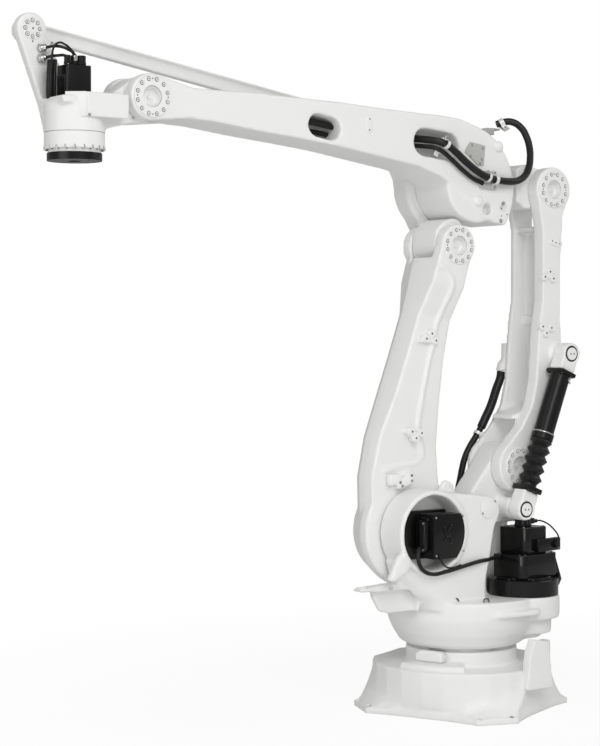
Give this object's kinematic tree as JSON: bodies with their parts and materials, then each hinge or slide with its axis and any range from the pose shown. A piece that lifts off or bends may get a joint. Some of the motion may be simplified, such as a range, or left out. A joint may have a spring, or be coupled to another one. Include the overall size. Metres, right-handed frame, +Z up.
{
  "type": "four-axis palletizing robot arm",
  "caption": "Floor-mounted four-axis palletizing robot arm with parallel links that keep the tool flange level, a gas-spring balancer and a long upper arm.",
  "frame": {"origin": "centre of the turning axis on the floor plane, under the base", "axes": "+Z up along the turning axis, +X forward along the arm, +Y to the robot's left"},
  "size_m": [2.533, 0.9102, 2.7659],
  "materials": {
    "white_paint": "semi-gloss off-white enamel on castings",
    "black_paint": "satin black enamel",
    "bare_steel": "machined",
    "black_rubber": "smooth",
    "black_plastic": "moulded",
    "grey_paint": "satin grey"
  },
  "bodies": {
    "base": {"base_casting": "white_paint", "base_bearing_ring": "bare_steel", "rotation_stop": "white_paint", "connector_tower": "white_paint"},
    "turret": {"turret_casting": "white_paint", "access_cover": "white_paint", "turn_motor_flange": "black_paint", "turn_motor_gear_case": "black_paint", "turn_motor": "black_paint", "turn_motor_encoder": "black_paint", "shoulder_motor": "black_paint", "spring_lower_pin": "white_paint", "shoulder_reducer": "bare_steel"},
    "lower_arm": {"lower_arm_casting": "white_paint", "elbow_covers": "white_paint", "elbow_shaft": "bare_steel", "stopper_block": "white_paint"},
    "rear_link": {"rear_link_casting": "white_paint", "link_covers": "white_paint", "link_shafts": "bare_steel", "spring_upper_pin": "white_paint", "hose_bracket": "white_paint", "rear_hose": "black_rubber"},
    "elbow": {"elbow_casting": "white_paint", "upper_arm_motor": "black_paint", "top_hose_bracket": "grey_paint"},
    "upper_arm": {"upper_arm_casting": "white_paint", "wrist_covers": "white_paint", "wrist_shaft": "bare_steel", "hose_plate": "grey_paint", "hose_clamps": "bare_steel", "arm_hose": "black_rubber", "hose_loop": "black_rubber"},
    "tie_rod": {"tie_rod": "white_paint", "tie_rod_pins": "bare_steel"},
    "wrist": {"wrist_casting": "white_paint", "wrist_side_cover": "white_paint", "wrist_motor": "black_paint", "wrist_motor_plugs": "black_plastic"},
    "flange": {"tool_flange": "black_paint"},
    "spring_rod": {"spring_rod": "bare_steel", "spring_bellows": "black_rubber", "spring_lower_eye": "white_paint"},
    "spring_cylinder": {"spring_cylinder": "black_paint", "spring_upper_eye": "white_paint"}
  },
  "joints": [
    {"name": "base_turn", "type": "hinge", "parent": "base", "child": "turret", "pos_m": [0, 0, 0.274], "axis": [0, 0, 1], "range_deg": [-135.6, 184.4]},
    {"name": "lower_arm_lean", "type": "hinge", "parent": "turret", "child": "lower_arm", "pos_m": [0.318, 0, 0.77], "axis": [0, 1, 0], "range_deg": [-10.8, 69.2], "deforming": ["rear_hose", "spring_bellows"]},
    {"name": "rear_link_lean", "type": "hinge", "parent": "turret", "child": "rear_link", "pos_m": [-0.192, 0, 1.022], "axis": [0, 1, 0], "range_deg": [-10.8, 69.2]},
    {"name": "elbow_level", "type": "hinge", "parent": "lower_arm", "child": "elbow", "pos_m": [0.128, 0, 1.951], "axis": [0, 1, 0], "range_deg": [-69.2, 10.8]},
    {"name": "upper_arm_dip", "type": "hinge", "parent": "elbow", "child": "upper_arm", "pos_m": [0.008, 0, 2.212], "axis": [0, 1, 0], "range_deg": [-7.4, 42.6], "deforming": ["hose_loop"]},
    {"name": "tie_rod_dip", "type": "hinge", "parent": "elbow", "child": "tie_rod", "pos_m": [0.404, 0, 2.452], "axis": [0, 1, 0], "range_deg": [-7.4, 42.6]},
    {"name": "wrist_level", "type": "hinge", "parent": "upper_arm", "child": "wrist", "pos_m": [1.599, 0, 2.466], "axis": [0, 1, 0], "range_deg": [-42.6, 7.4]},
    {"name": "tool_turn", "type": "hinge", "parent": "wrist", "child": "flange", "pos_m": [1.859, 0, 2.262], "axis": [0, 0, 1], "continuous": true},
    {"name": "spring_rod_swing", "type": "hinge", "parent": "turret", "child": "spring_rod", "pos_m": [-0.148, 0.216, 0.845], "axis": [0, 1, 0], "range_deg": [-9.09, 52.83]},
    {"name": "spring_cylinder_swing", "type": "hinge", "parent": "rear_link", "child": "spring_cylinder", "pos_m": [-0.404, 0.216, 1.498], "axis": [0, 1, 0], "range_deg": [-18.37, 3.71]}
  ],
  "couplings": [
    {"joint": "rear_link_lean", "follows": "lower_arm_lean", "ratio": 1},
    {"joint": "elbow_level", "follows": "lower_arm_lean", "ratio": -1},
    {"joint": "tie_rod_dip", "follows": "upper_arm_dip", "ratio": 1},
    {"joint": "wrist_level", "follows": "upper_arm_dip", "ratio": -1},
    {"joint": "spring_rod_swing", "follows": "lower_arm_lean", "ratio": 0.749},
    {"joint": "spring_cylinder_swing", "follows": "lower_arm_lean", "ratio": -0.251}
  ]
}
